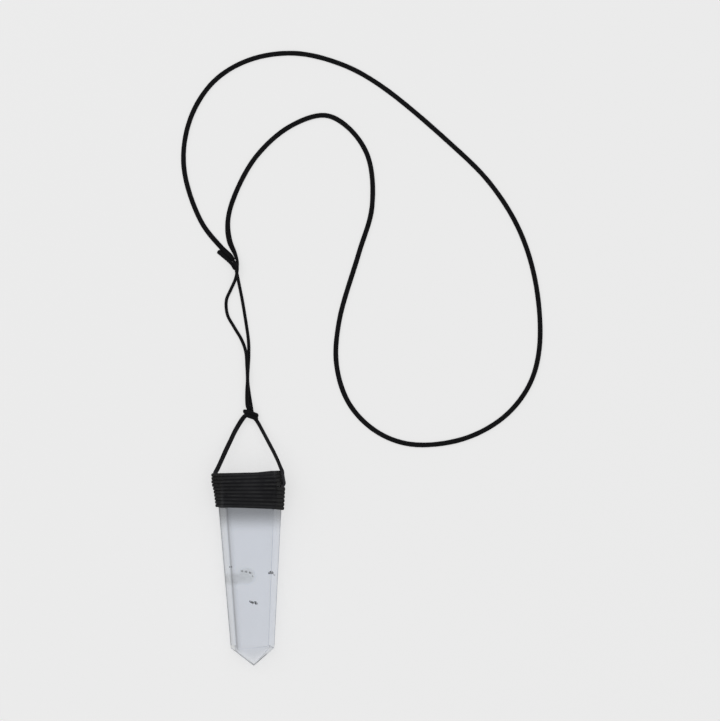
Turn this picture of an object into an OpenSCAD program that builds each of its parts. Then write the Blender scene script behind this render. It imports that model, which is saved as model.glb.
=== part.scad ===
// Quartz necklace: a crystal point bound with cord, lying flat with its neck loop.
// The surface it lies on is z = 0, and +Y runs from the tip towards the neck cord.

/* [Crystal] */
// Width across the side edges at the bound end
crystal_top_w = 29.6; // [28:0.2:31]
// Width across the side edges at the shoulders
crystal_low_w = 19; // [17:0.5:21]
// Width of a bevel face seen from the front, at the bound end
bevel_top = 3.6; // [3.2:0.1:4]
// Width of a bevel face seen from the front, at the shoulders
bevel_low = 2.6; // [2.2:0.1:3]
// Length from the middle of the bound end to the tip
crystal_l = 85; // [80:1:90]
// Length of the six-faced tip
tip_l = 8; // [7:0.2:9]

/* [Binding] */
// Number of turns round the crystal
turns = 10; // [8:1:10]
// Width of the wound cord along the crystal
wound_w = 1.4; // [1.2:0.05:1.4]
// Thickness of the wound cord
wound_t = 1.15; // [1:0.05:1.2]
// Length of crystal that the turns cover at the left edge
wound_l_left = 13.4; // [13:0.1:14]
// Length of crystal that the turns cover at the right edge
wound_l_right = 15.9; // [15.6:0.1:17]
// How far the first turn stands out at the left edge, where the left leg ends under it
left_bulge = 0.6; // [0:0.1:0.8]

/* [Cords] */
// Width of the neck cord where it lies slack
neck_w = 2; // [1.6:0.05:2.1]
// Thickness of the neck cord and of the left leg
neck_t = 1.3; // [1.1:0.05:1.3]
// Diameter of the drawn strands, and thickness of the right leg
strand_d = 1.26; // [1.1:0.02:1.26]
// Width of the left leg
left_leg_w = 1.85; // [1.4:0.05:1.85]
// Width of the right leg where it hangs free
right_leg_w = 1.45; // [1.2:0.05:1.5]

/* [Knot] */
// Width of the cord in the knot
knot_cord_w = 1.5; // [1.3:0.05:1.5]
// Thickness of the cord in the knot, squeezed flat
knot_cord_t = 1.2; // [1:0.05:1.2]
// Width of the knot across the strands
knot_w = 6; // [5.8:0.1:6.2]
// Height of the knot above the surface
knot_h = 4.1; // [4:0.05:4.2]

/* [Hidden] */
cord_sides = 8;
half_side = 180 / cord_sides;
bevel_angle = 60;

// Crystal: stations along Y and the lean of its middle line
end_y = 42;
tip_y = end_y - crystal_l;
low_y = tip_y + tip_l;
top_mid_x = 0.44;
low_mid_x = 1.8;
tip_x = 2.25;
tip_z = 4.2;
// The right edge turns in a little above neck_y, where the binding hides it
neck_y = 36;
neck_turn_in = 0.23;
// The hidden end is cut square across, sloping up to the right like the turns
end_slope = 0.04;
// How far each side edge of the prism runs past low_y before its tip face starts
shoulder_drop = [0.2, 0.5, -1.4, 0, -0.8, 0.6];

// Binding: first turn's middle line at both edges, and the way round a corner
first_left_y = 41;
first_right_y = 42.3;
corner_gap = 0.06;
corner_r = 1.5;
corner_arc = [30, 0, -30];
// The right leg is tucked in after this many turns, in a wider space at the right edge
turns_over_leg = 4;
close_pitch = 1.5;
last_turn_drop = 0.2;
bulged_turns = 8;
leg_space = 3;

// Knot: its middle, the slope of its turns, their pitch and where round they run,
// counted from the left end over the top, and the stub that comes before them
knot_mid = [0.9, 67.4, knot_h / 2 + 0.03];
knot_slope = -14;
knot_pitch = 1.65;
knot_turns = [60:24:540];
knot_stub = [[-2.5, 68.85, 2.7, knot_cord_w], [-1.5, 68.95, 3.1, knot_cord_w]];

// Neck cord, from its cut tail, round the fold, up the right strand, round the whole
// loop and down the left strand to its other end: x, y, z of the middle, and width
tight_w = 1.4;
joint_w = 1.85;
lay_z = neck_t / 2 + 0.05;
NECK_ROUTE = [
    [-13.2, 139.2, lay_z, joint_w],
    [-10.1, 136.5, 1, 1.75],
    [-7.4, 133.75, 2.1, tight_w],
    [-5.75, 131.95, 2.1, tight_w],
    [-4.95, 134.2, 2.1, tight_w],
    [-5.9, 137.8, 1.65, 1.5],
    [-8.5, 144.1, lay_z, 2.2],
    [-9.2, 152.7, lay_z, neck_w],
    [-6.4, 163.5, lay_z, neck_w],
    [3.1, 180.9, lay_z, neck_w],
    [17.9, 194.2, lay_z, neck_w],
    [33.3, 199.2, lay_z, neck_w],
    [43.3, 194.2, lay_z, neck_w],
    [52.4, 181.1, lay_z, neck_w],
    [54.2, 158.9, lay_z, neck_w],
    [48.4, 138.5, lay_z, neck_w],
    [39.7, 108.4, lay_z, neck_w],
    [38.6, 89.4, lay_z, neck_w],
    [44, 72.6, lay_z, neck_w],
    [55.7, 60.4, lay_z, neck_w],
    [71.2, 54.5, lay_z, neck_w],
    [93.9, 56.7, lay_z, neck_w],
    [111.9, 66.2, lay_z, neck_w],
    [123.1, 80, lay_z, neck_w],
    [127.8, 96.4, lay_z, neck_w],
    [126.5, 123.8, lay_z, neck_w],
    [119.3, 148.1, lay_z, neck_w],
    [106.2, 169.2, lay_z, neck_w],
    [88.3, 187.1, lay_z, neck_w],
    [57.8, 212.4, lay_z, neck_w],
    [40.6, 221.7, lay_z, neck_w],
    [20.1, 226.5, lay_z, neck_w],
    [0, 223.5, lay_z, neck_w],
    [-15.5, 214, lay_z, neck_w],
    [-25.8, 197.5, lay_z, neck_w],
    [-28.6, 176.7, lay_z, neck_w],
    [-21.1, 152.7, lay_z, neck_w],
    [-12.3, 141.3, lay_z, joint_w],
    [-8.3, 137.45, lay_z, joint_w],
    [-7.45, 136.25, 0.75, 1.6],
];

// Hanging loop, from the knot up the left strand, over the fold, down through it,
// back under it and down the right strand to the knot: x, y, z of the middle, width
strand_z = strand_d / 2 + 0.06;
HANGING_ROUTE = [
    [0.2, 66.4, 2.1, strand_d],
    [0.1, 69.2, 2.1, strand_d],
    [-0.45, 71.1, 2.1, strand_d],
    [-0.75, 73.5, 2.1, strand_d],
    [-0.85, 78, 2.1, strand_d],
    [-0.6, 83, 2.1, strand_d],
    [-0.85, 89, 2.1, strand_d],
    [-1.4, 95.5, 1.9, strand_d],
    [-3.2, 100.5, 1, strand_d],
    [-6.5, 106.1, strand_z, strand_d],
    [-9.4, 111.5, strand_z, strand_d],
    [-9.85, 117.9, strand_z, strand_d],
    [-8, 122.35, 0.9, strand_d],
    [-5.95, 126.9, 2, strand_d],
    [-5.25, 129.9, 3.1, strand_d],
    [-5.1, 132.4, 3.55, strand_d],
    [-6.2, 134.35, 3.15, strand_d],
    [-6.52, 134.9, 2.1, strand_d],
    [-6.2, 134.35, 1.05, strand_d],
    [-5.85, 132.4, strand_z, strand_d],
    [-5.3, 130, strand_z, strand_d],
    [-4.6, 126.5, strand_z, strand_d],
    [-2.9, 118, strand_z, strand_d],
    [-1.4, 109, strand_z, strand_d],
    [-0.15, 100, strand_z, strand_d],
    [0, 93, strand_z, strand_d],
    [-0.5, 83, strand_z, strand_d],
    [0, 78, strand_z, strand_d],
    [0.8, 73, 1.4, strand_d],
    [1.5, 69, 2.1, strand_d],
    [1.6, 66.1, 2.1, strand_d],
];

// Legs, from the knot to the binding: x, y, z of the middle, and width
LEFT_LEG_ROUTE = [
    [-1.95, 66.65, 1.9, 1.6],
    [-5.65, 60.95, 2.9, left_leg_w],
    [-8.05, 56.05, 4.1, left_leg_w],
    [-10.15, 51.6, 5.5, left_leg_w],
    [-12.1, 47.25, 6.9, left_leg_w],
    [-13.7, 43.8, 7.9, left_leg_w],
    [-14.3, 42.7, 8.15, left_leg_w],
    [-14.7, 41.85, 8.25, left_leg_w],
];
RIGHT_LEG_ROUTE = [
    [3.6, 64.7, 2, strand_d],
    [5.95, 60.55, 3, right_leg_w],
    [8.3, 56.15, 4.6, right_leg_w],
    [10.65, 51.75, 6.6, right_leg_w],
    [12.8, 47.3, 8.7, 1.35],
    [14.2, 43.9, 10.1, strand_d],
    [14.8, 42.5, 10.5, strand_d],
    [15, 41.2, 10.5, strand_d],
    [15.4, 38.6, 10.3, strand_d],
    [15.6, 37.5, 10.2, strand_d],
    [15.4, 36.8, 10.1, strand_d],
    [15, 36.3, 9.7, strand_d],
];

function unit(v) = v / norm(v);

function blend(a, b, part) = a + (b - a) * part;

// Cross-section of the crystal at y: half of its thickness follows from its bevels
function along(y) = (y - low_y) / (end_y - low_y);
function bevel(y) = blend(bevel_low, bevel_top, along(y));
function half_t(y) = bevel(y) * tan(bevel_angle);
function mid_x(y) = blend(low_mid_x, top_mid_x, along(y));
function half_w(y) = blend(crystal_low_w, crystal_top_w, along(y)) / 2;
function left_x(y) = mid_x(y) - half_w(y);
function right_x(y) = mid_x(y) + half_w(y) - neck_turn_in * max(y - neck_y, 0);

// Middle of the wound cord from the faces, so that its corners clear the edges
corner_stretch = 1 / cos(30);
corner_reach = wound_t / 2 + corner_gap;
wound_off = (corner_reach + (corner_stretch - 1) * corner_r) / corner_stretch;

// The crystal rests on its low back edge and on the lowest turn of the binding
rest_y = low_y - shoulder_drop[5];
wound_low_y = first_right_y - wound_l_right - last_turn_drop;
back_rise = (wound_off + wound_t / 2) / (wound_low_y - rest_y);
function back_z(y) = back_rise * (y - rest_y);

// Side edges in order round the crystal: left, front left, front right, right,
// back right, back left, as x and z at y
function edges(y) = let (z = back_z(y), h = half_t(y), b = bevel(y)) [
    [left_x(y), z + h],
    [left_x(y) + b, z + 2 * h],
    [right_x(y) - b, z + 2 * h],
    [right_x(y), z + h],
    [right_x(y) - b, z],
    [left_x(y) + b, z],
];

function edge_point(i, y) = let (e = edges(y)[i]) [e[0], y, e[1]];

// Point on the hidden stretch of edge i where the sloping end cuts it
function end_point(i) = edge_point(i, end_y + end_slope * edges(end_y)[i][0]);

// Smooth curve through the rows of a route, with steps rings to a row: each row
// counts by the root of its distance, so that the curve keeps close to the rows
function row_gap(a, b) = max(sqrt(norm([b[0] - a[0], b[1] - a[1], b[2] - a[2]])), 0.01);
function lerp_at(a, b, ta, tb, t) = ((tb - t) * a + (t - ta) * b) / (tb - ta);
function span_at(a, b, c, d, part) =
    let (
        t1 = row_gap(a, b),
        t2 = t1 + row_gap(b, c),
        t3 = t2 + row_gap(c, d),
        t = blend(t1, t2, part),
        ab = lerp_at(a, b, 0, t1, t),
        bc = lerp_at(b, c, t1, t2, t),
        cd = lerp_at(c, d, t2, t3, t),
        abc = lerp_at(ab, bc, 0, t2, t),
        bcd = lerp_at(bc, cd, t1, t3, t)
    )
    lerp_at(abc, bcd, t1, t2, t);
function route_row(route, i) =
    i < 0 ? 2 * route[0] - route[1] :
    i >= len(route) ? 2 * route[len(route) - 1] - route[len(route) - 2] :
    route[i];
function above_surface(row, thick) = [row[0], row[1], max(row[2], thick / 2 / cos(half_side)), row[3]];
function smooth(route, steps, thick) = [
    for (i = [0:len(route) - 2])
        for (k = [0:steps - 1])
            above_surface(
                span_at(
                    route_row(route, i - 1),
                    route_row(route, i),
                    route_row(route, i + 1),
                    route_row(route, i + 2),
                    k / steps
                ),
                thick
            ),
    route[len(route) - 1],
];

// The way of the wound cord: turn i passes each corner of the crystal in order
last = turns - 1;
pitch_left = wound_l_left / last;
pitch_right = wound_l_right / last;
below_leg_y = first_right_y - close_pitch * (turns_over_leg - 1) - leg_space;
pitch_low = (wound_l_right - (first_right_y - below_leg_y)) / (turns - turns_over_leg - 1);
function left_y(i) = first_left_y - pitch_left * i;
function right_y(i) = first_right_y - pitch_right * i;
function parted_y(i) =
    i < turns_over_leg ? first_right_y - close_pitch * i :
    below_leg_y - pitch_low * (i - turns_over_leg);
bevel_share = 0.12;
function corner_y(i, corner) =
    corner == 0 ? left_y(i) :
    corner == 1 ? blend(left_y(i), right_y(i), bevel_share) :
    corner == 2 ? blend(left_y(i), right_y(i), 1 - bevel_share) :
    corner == 3 ? parted_y(i) :
    corner == 4 ? blend(right_y(i), left_y(i + 1), bevel_share) :
    blend(right_y(i), left_y(i + 1), 1 - bevel_share);
function corner_ring(i, corner, turn) =
    let (
        y = corner_y(i, corner),
        e = edges(y)[corner],
        way = 180 - 60 * corner,
        inset = (corner_r - wound_off) * corner_stretch,
        bulge = corner == 0 ? left_bulge * max(1 - i / bulged_turns, 0) : 0
    )
    [
        e[0] - bulge - inset * cos(way) + corner_r * cos(way + turn),
        y,
        e[1] - inset * sin(way) + corner_r * sin(way + turn),
        wound_w,
    ];
// The last turn goes on round the right edge and ends on the back
wound_corners = [
    for (i = [0:last])
        for (corner = [0:5])
            if (i < last || corner <= 4) [i, corner],
];
WOUND_ROUTE = [for (c = wound_corners) for (turn = corner_arc) corner_ring(c[0], c[1], turn)];
WOUND_UPS = [
    for (c = wound_corners)
        for (turn = corner_arc)
            let (way = 180 - 60 * c[1] + turn)
            [cos(way), 0, sin(way)],
];

// Upward direction of a cord at each ring, squared to its way there: either the
// direction asked for, or the one of the ring before it, carried along
function tangents(path) =
    let (n = len(path))
    [for (i = [0:n - 1]) unit(path[min(i + 1, n - 1)] - path[max(i - 1, 0)])];
function squared(v, t) = unit(v - (v * t) * t);
function carried(ts) = [
    for (i = 0, v = squared([0, 0, 1], ts[0]); i < len(ts); i = i + 1, v = carried_on(v, ts, i)) v,
];
function carried_on(v, ts, i) = squared(v, ts[min(i, len(ts) - 1)]);
function upright(rows) = [for (r = rows) [0, 0, 1]];

// Cord of the given thickness along rows of x, y, z and width: its flats lie at
// half its width and half its thickness from its middle
module cord(rows, thick, asked = []) {
    path = [for (r = rows) [r[0], r[1], r[2]]];
    n = len(path);
    ts = tangents(path);
    ups = len(asked) == n ? [for (i = [0:n - 1]) squared(asked[i], ts[i])] : carried(ts);
    flat = 1 / cos(half_side);
    points = [
        for (i = [0:n - 1])
            for (k = [0:cord_sides - 1])
                let (a = half_side + 2 * half_side * k)
                path[i]
                    + cross(ts[i], ups[i]) * cos(a) * flat * rows[i][3] / 2
                    + ups[i] * sin(a) * flat * thick / 2,
    ];
    sides = [
        for (i = [0:n - 2])
            for (k = [0:cord_sides - 1])
                let (
                    j = (k + 1) % cord_sides,
                    here = i * cord_sides,
                    next = here + cord_sides
                )
                each [[here + k, next + k, here + j], [here + j, next + k, next + j]],
    ];
    ends = [
        [for (k = [0:cord_sides - 1]) k],
        [for (k = [cord_sides - 1:-1:0]) (n - 1) * cord_sides + k],
    ];
    polyhedron(points = points, faces = concat(sides, ends));
}

module crystal() {
    low = [for (i = [0:5]) edge_point(i, low_y - shoulder_drop[i])];
    neck = [for (i = [0:5]) edge_point(i, neck_y)];
    top = [for (i = [0:5]) end_point(i)];
    belts = [
        for (k = [0:1])
            for (i = [0:5])
                [k * 6 + i, k * 6 + (i + 1) % 6, k * 6 + 6 + (i + 1) % 6, k * 6 + 6 + i],
    ];
    tip = [for (i = [0:5]) [18, (i + 1) % 6, i]];
    color([0.8, 0.83, 0.87])
        polyhedron(
            points = concat(low, neck, top, [[tip_x, tip_y, tip_z]]),
            faces = concat(belts, tip, [[12, 13, 14, 15, 16, 17]])
        );
}

module binding() {
    color([0.11, 0.11, 0.12])
        cord(WOUND_ROUTE, wound_t, WOUND_UPS);
}

module left_leg() {
    color([0.1, 0.1, 0.11])
        cord(LEFT_LEG_ROUTE, neck_t, upright(LEFT_LEG_ROUTE));
}

module right_leg() {
    color([0.1, 0.1, 0.11])
        cord(RIGHT_LEG_ROUTE, strand_d, upright(RIGHT_LEG_ROUTE));
}

// The cut stub and the turns that follow it round the strands
module knot() {
    half_across = (knot_w - knot_cord_t) / 2;
    half_high = (knot_h - knot_cord_t) / 2;
    coil = [
        for (a = knot_turns)
            let (reach = -half_across * cos(a))
            [
                knot_mid[0] + reach * cos(knot_slope),
                knot_mid[1] + reach * sin(knot_slope) + knot_pitch * (0.5 - (a - 90) / 360),
                knot_mid[2] + half_high * sin(a),
                knot_cord_w,
            ],
    ];
    outward = [for (a = knot_turns) [-half_high * cos(a), 0, half_across * sin(a)]];
    color([0.1, 0.1, 0.11])
        cord(concat(knot_stub, coil), knot_cord_t, concat(upright(knot_stub), outward));
}

module hanging_loop() {
    color([0.1, 0.1, 0.11])
        cord(smooth(HANGING_ROUTE, 2, strand_d), strand_d);
}

module neck_cord() {
    way = smooth(NECK_ROUTE, 2, neck_t);
    color([0.1, 0.1, 0.11])
        cord(way, neck_t, upright(way));
}

crystal();
binding();
left_leg();
right_leg();
knot();
hanging_loop();
neck_cord();
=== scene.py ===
import math

import bmesh
import bpy
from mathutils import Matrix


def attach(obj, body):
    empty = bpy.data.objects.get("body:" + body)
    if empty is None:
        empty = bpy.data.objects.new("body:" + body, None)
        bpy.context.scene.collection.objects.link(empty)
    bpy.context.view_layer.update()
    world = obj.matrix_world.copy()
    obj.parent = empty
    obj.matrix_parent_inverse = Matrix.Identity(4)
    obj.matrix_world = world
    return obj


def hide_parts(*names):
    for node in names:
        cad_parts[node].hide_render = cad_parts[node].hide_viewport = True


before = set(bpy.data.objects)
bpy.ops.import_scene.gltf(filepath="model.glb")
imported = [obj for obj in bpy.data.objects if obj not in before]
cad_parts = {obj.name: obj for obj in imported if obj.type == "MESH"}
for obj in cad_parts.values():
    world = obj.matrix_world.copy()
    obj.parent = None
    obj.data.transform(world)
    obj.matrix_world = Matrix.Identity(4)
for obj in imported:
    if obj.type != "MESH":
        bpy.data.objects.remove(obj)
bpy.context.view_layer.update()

bl_info = {
    "name": "Quartz Necklace",
    "version": (1, 0, 0),
    "blender": (4, 5, 0),
    "location": "3D View > Sidebar > Necklace",
    "description": "Dresses a necklace: a quartz point, its cord winding, knot and neck cord",
    "category": "Add Mesh",
}

# The photograph, straight from above, 720 by 721 pixels: middle and width of its view
VIEW_MIDDLE = (0.04892, 0.09134)
VIEW_WIDTH = 0.3168
CAMERA_HEIGHT = 8.0
SENSOR_W = 36.0
FAR_CLIP = 100.0

# Stage: half the floor's side, the soft lamp, and the heights of the sky between which
# its light grows from the horizon's to the zenith's
FLOOR_HALF = 10.0
SOFTBOX_SIZE = (1.2, 0.8)
SOFTBOX_POWER = 1.0
SOFTBOX_PLACE = (-0.9, 0.9, 1.1)
SOFTBOX_TURN = (-42, -38, 0)
SKY_LOW = 0.45
SKY_HIGH = 0.95

# Crystal: the side edges of the solid, from the shoulders at LOW_Y to the hidden end
END_Y = 0.042
LOW_Y = -0.035
NECK_Y = 0.036
NECK_TURN_IN = 0.23
TOP_W = 0.0296
LOW_W = 0.019
BEVEL_TOP = 0.0036
BEVEL_LOW = 0.0026
BEVEL_RISE = math.tan(math.radians(60))
TOP_MID_X = 0.00044
LOW_MID_X = 0.0018
REST_Y = -0.0356
LEFT_OF_MIDDLE = -0.002
LEFT_OUTWARD = 0.00025

# Quartz: its index of refraction, how near its vertices are joined, how flat two faces
# are that become one, the two shades of its faces, the two colours of its worn edges,
# which are painted dark as a painted shade along the edges, and the colour of the worn
# edges on its tip, where that painted shade is left off
QUARTZ_IOR = 1.544
JOINED_WITHIN = 0.00001
FLAT_WITHIN = math.radians(0.6)
FACE_SHADES = ((0.845, 0.858, 0.88), (0.875, 0.888, 0.907))
WORN_EDGE_PAINTED_SHADES = ((0.30, 0.32, 0.33), (0.55, 0.57, 0.58))
UNSHADED_TIP_EDGE = (0.93, 0.94, 0.95)
# Growth lines: how far they are drawn out across the crystal. Relief of the faces: its
# strength and height, and the share that the growth lines have in it
GROWTH_STRETCH = (0.12, 1.0, 0.12)
QUARTZ_RELIEF = (0.08, 0.00003)
GROWTH_SHARE = 0.7
# Tone along the crystal, from its shoulders to the binding's shade
TONE_LOW = 0.985
TONE_HIGH = 1.02

# Shades in the quartz: below the binding along Y, and across the left front edge, whose
# line is x + EDGE_SLOPE * y + EDGE_SHIFT = 0
SHADE_START_Y = 0.0258
SHADE_END_Y = 0.0155
DEEPEST_SHADE = 0.42
EDGE_SLOPE = 0.0735
EDGE_SHIFT = 0.00792
EDGE_REACH = 0.009
EDGE_SHADES = [
    (0.0, (0.82, 0.82, 0.81)),
    (0.21, (0.84, 0.84, 0.83)),
    (0.27, (0.955, 0.946, 0.905)),
    (0.45, (0.97, 0.961, 0.92)),
    (0.48, (0.64, 0.63, 0.62)),
    (0.54, (0.64, 0.63, 0.62)),
    (0.59, (0.85, 0.85, 0.85)),
    (0.70, (0.95, 0.95, 0.95)),
    (0.82, (1.0, 1.0, 1.0)),
]

# Tip: where its finish starts, its point, and the ways in from its two outlines
TIP_IOR = 1.05
TIP_GLOSS = 0.6
TIP_CUT_Y = -0.0338
TIP_RIM = 0.001
FRONT_UP = 0.8
FRONT_LEAN = 0.3
TIP_START_Y = -0.0340
TIP_CLEAR_Y = -0.0355
TIP_POINT = (0.00225, -0.043)
TIP_LEFT_IN = (0.617, 0.787)
TIP_RIGHT_IN = (-0.662, 0.749)
# Its dark outline, a painted shade where refraction darkens the tip's edges: how far in
# it fades, how dark it is, and where along Y it is faint
TIP_LINE_DARK = 0.0003
TIP_LINE_CLEAR = 0.0009
TIP_LINE_DEPTH = 0.6
TIP_LINE_FAINT = 0.2
TIP_LINE_FADE_Y = -0.0366
TIP_LINE_FULL_Y = -0.0384
# The paler strip inside the outline: how far in it fades, and how much paler it is
TIP_PALE_IN = 0.0014
TIP_PLAIN_IN = 0.0030
TIP_PALER = 0.07

# Binding: the rule of its turns
TURNS = 10
WOUND_T = 0.00115
WOUND_GIRTH = 0.0045
CORNER_GAP = 0.00006
CORNER_R = 0.0015
CORNER_STEPS = 6
FIRST_LEFT_Y = 0.041
FIRST_RIGHT_Y = 0.0423
WOUND_L_LEFT = 0.0134
WOUND_L_RIGHT = 0.0159
LAST_TURN_DROP = 0.0002
LEFT_BULGE = 0.0006
LEFT_REACH = 0.0004
BULGED_TURNS = 8
TURNS_OVER_LEG = 4
CLOSE_PITCH = 0.0015
LEG_SPACE = 0.003
BEVEL_SHARE = 0.12
WIDEST_TURN = 0.002
SNUG = 1.01
LEFT_SWELL = 0.0004
SWOLLEN_TURN = 2.3
SWELL_TURNS = 1.5
# Front of the first and last turns: how far the right end lifts along Y, then parts of the
# way across the front with the lift there
OUTER_BENDS = {
    0: (-0.0003, [(0.36, -0.00012), (0.6, -0.00022), (0.9, -0.0002)]),
    TURNS - 1: (0.0003, [(0.44, 0.00014), (0.69, 0.00015), (0.95, 0.0001)]),
}
# Its finish: where the front ends at both sides, and the black of the sides, a painted
# shade, which is painted greyer beside the leg, a painted light where the leg shades
# them, to the right of LEG_X and above LEG_END_Y
FRONT_X = (0.0112, 0.0128)
LEG_X = (0.0118, 0.0130)
LEG_END_Y = (0.0352, 0.0364)
SIDE_PAINTED_SHADE = (0.0105, 0.0105, 0.011)
LEG_SIDE_PAINTED_LIGHT = (0.040, 0.040, 0.041)
# Painted highlight line along the top of each turn on the front: its colour, how far it reaches
# across the turn, the gaps that break it, and its contrast
RIDGE_PAINTED_HIGHLIGHT = (0.16, 0.165, 0.16)
RIDGE_REACH = 0.055
RIDGE_GAPS = 0.38
RIDGE_CONTRAST = 3.0

# Knot: the middle, size and slope of its coil
KNOT_MID = (0.0011, 0.0674, 0.00208)
KNOT_W = 0.0066
KNOT_H = 0.0041
KNOT_CORD_W = 0.0016
KNOT_CORD_T = 0.0012
KNOT_GIRTH = 0.0043
KNOT_SLOPE = math.radians(-14)
KNOT_PITCH = 0.00165
KNOT_TURNS = range(60, 541, 24)
KNOT_STUB = [(-0.0025, 0.06885, 0.0027), (-0.0015, 0.06895, 0.0031)]

# Cords: real lengths, and the height and width where they lie slack
NECK_W = 0.002
NECK_T = 0.0013
NECK_GIRTH = 0.005
NECK_END_ROUND = 0.0002
TAIL_REACH = 0.0006
NECK_END_REACH = 0.0014
JOINT_W = 0.00205
STRAND_W = 0.00126
STRAND_GIRTH = 0.0042
END_ROUND = 0.0005
LEFT_LEG_W = 0.00185
RIGHT_LEG_W = 0.00145
LAY_Z = 0.0007
OFF_FLOOR = 0.00003
ROUTE_STEPS = 8
KNOT_STEPS = 6
# The pendant cord is paler below the knot, and painted paler still where it lies on the
# binding, a painted light that matches it to the binding's painted highlights
PALER_START_Y = 0.0665
PALER_FULL_Y = 0.060
TUCK_START_Y = 0.0440
TUCK_Y = 0.0415
TUCK_PAINTED_LIGHT = 2.2
# Finishes: name, shine, roughness, how much paler the tops of the strands are painted, a
# painted highlight, then the strength of the painted highlight line along the ridges and
# how much paler the cord is below the knot
BLACK_CORD = ("black_cord", 0.1, 0.5, 1.0, 0.0, 1.0)
THIN_CORD = ("thin_black_cord", 0.1, 0.5, 1.0, 0.0, 1.7)
BINDING_CORD = ("binding_cord", 0.13, 0.42, 2.8, 0.6, 1.0)

# Weave of the cord: its strands' pitch, a shift that keeps their numbers above zero, and
# how high a strand is where it goes under another
WEAVE_PITCH = 0.8
WEAVE_SHIFT = 64.0
STRAND_LEAST = 0.65
# Shares of the strands, the fibres and the patches in its tone, and of the first two in
# its relief, whose strength and height follow
TONE_SHARES = (0.55, 0.35, 0.7)
RELIEF_SHARES = (0.75, 0.25)
CORD_RELIEF = (0.6, 0.00012)
# Its roughness: what the fibres add, and what the gaps between the strands add
FIBRE_ROUGH = 0.25
GAP_ROUGH = 0.15
# Section of the cord: how far its width swells, and the width left at its closed ends
SWELL = 0.12
END_SHARE = 0.3
# Least root of the distance between two rows of a route
CLOSEST_ROWS = 0.0003

# Noises: waves to a metre, detail, and roughness where it isn't the usual one
FLOOR_CLOUD = (3.0, 2.0)
QUARTZ_CLOUD = (70.0, 2.0)
CORD_PATCHES = (90.0, 2.0)
CORD_SWELL = (160.0, 1.0)
RIDGE_BREAKS = (260.0, 3.0)
QUARTZ_RUBS = (260.0, 4.0, 0.6)
VEIL_WISPS = (420.0, 4.0, 0.6)
EDGE_NICKS = (700.0, 4.0, 0.6)
QUARTZ_GROWTH = (900.0, 3.0)
CORD_LUMPS = (900.0, 2.0)
CORD_FIBRES = (6000.0, 4.0, 0.6)

# Node trees: their names, and the inputs that are plain numbers
CORD_TREE = "cord_along_path"
CORD_INPUTS = (
    "Ring Gap", "Thickness", "Squareness", "Girth", "Fuzz", "Unevenness", "End Round",
)
SEAM_SHARE = 1.5 / 8
FLAKE_TREE = "flakes_on_sheet"
FLAKE_INPUTS = ("Density", "Smallest", "Largest", "Tilt", "Slimness")
FLAKE_THINNESS = 0.16
FLAKE_SIZE_SEED = 7.0
SHEET_QUADS = 3

# The cloudy veil in the quartz: each patch's middle and half its size across and along,
# its two colours and how much it covers; then the share of its reach that is full
HAZES = [
    (-0.0066, -0.0046, 0.0070, 0.0034, (0.52, 0.46, 0.33), (0.62, 0.57, 0.44), 0.30),
    (-0.0010, -0.0032, 0.0050, 0.0048, (0.54, 0.57, 0.30), (0.66, 0.69, 0.42), 0.26),
]
HAZE_FULL = 0.35

# Finishes of the flakes in the quartz: two colours, how much they cover, waves of noise
GRAINS = {
    "quartz_dash": ((0.30, 0.33, 0.24), (0.16, 0.18, 0.13), 0.5, 3000.0),
    "quartz_speck": ((0.08, 0.09, 0.08), (0.14, 0.15, 0.13), 0.5, 4000.0),
}

# What the quartz encloses: name, finish, upper and lower row of its sheet, how far the
# sheet sags, and the flakes on it by FLAKE_INPUTS
ENCLOSED = [
    (
        "haze",
        "quartz_haze",
        [(-0.0104, -0.0008, 0.0062), (-0.0060, 0.0004, 0.0066), (-0.0012, 0.0006, 0.0066),
         (0.0036, 0.0002, 0.0062)],
        [(-0.0104, -0.0086, 0.0056), (-0.0060, -0.0088, 0.0058), (-0.0012, -0.0086, 0.0058),
         (0.0036, -0.0084, 0.0056)],
        0.0004,
        None,
    ),
    (
        "right_speck",
        "quartz_speck",
        [(0.0088, -0.0017, 0.0085), (0.0097, -0.0010, 0.0087), (0.0103, -0.0020, 0.0085)],
        [(0.0085, -0.0025, 0.0080), (0.0097, -0.0025, 0.0080), (0.0112, -0.0033, 0.0080)],
        0.0001,
        (1.2e7, 0.00018, 0.00040, 0.6, 0.5),
    ),
    (
        "left_spot",
        "quartz_speck",
        [(-0.0080, 0.0010, 0.0092), (-0.0074, 0.0010, 0.0092)],
        [(-0.0080, 0.0003, 0.0090), (-0.0074, 0.0003, 0.0090)],
        0.0,
        (3.4e7, 0.00012, 0.00026, 0.8, 0.6),
    ),
    (
        "smudge",
        "quartz_speck",
        [(0.0001, -0.0140, 0.0080), (0.0016, -0.0145, 0.0080), (0.0034, -0.0146, 0.0080)],
        [(0.0007, -0.0151, 0.0076), (0.0019, -0.0158, 0.0076), (0.0039, -0.0157, 0.0076)],
        0.0001,
        (1.6e7, 0.00018, 0.00042, 0.6, 0.5),
    ),
]

# Short dashes over the veil: left and right end, place of each end along Y, density
DASHES = [
    (-0.0034, -0.0020, -0.0007, -0.0009, 4.0e6),
    (-0.0016, -0.0003, -0.0009, -0.0013, 4.0e6),
    (0.0002, 0.0015, -0.0014, -0.0018, 5.5e6),
    (0.0017, 0.0022, -0.0030, -0.0031, 3.0e6),
]
DASH_L = 0.0007
DASH_Z = 0.0084
DASH_DROP = 0.0005
for left, right, left_y, right_y, density in DASHES:
    upper = [(left, left_y, DASH_Z), (right, right_y, DASH_Z)]
    lower = [(x, y - DASH_L, z - DASH_DROP) for x, y, z in upper]
    sizes = (density, 0.00020, 0.00042, 0.3, 0.45)
    ENCLOSED.append(("dash", "quartz_dash", upper, lower, 0.0001, sizes))


def lying(width, *places):
    """Rows of a cord of that width that lies slack at places x, y."""
    return [(x, y, LAY_Z, width) for x, y in places]


def raised(width, *places):
    """Rows of a cord of that width at places x, y, z."""
    return [(*place, width) for place in places]


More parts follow.
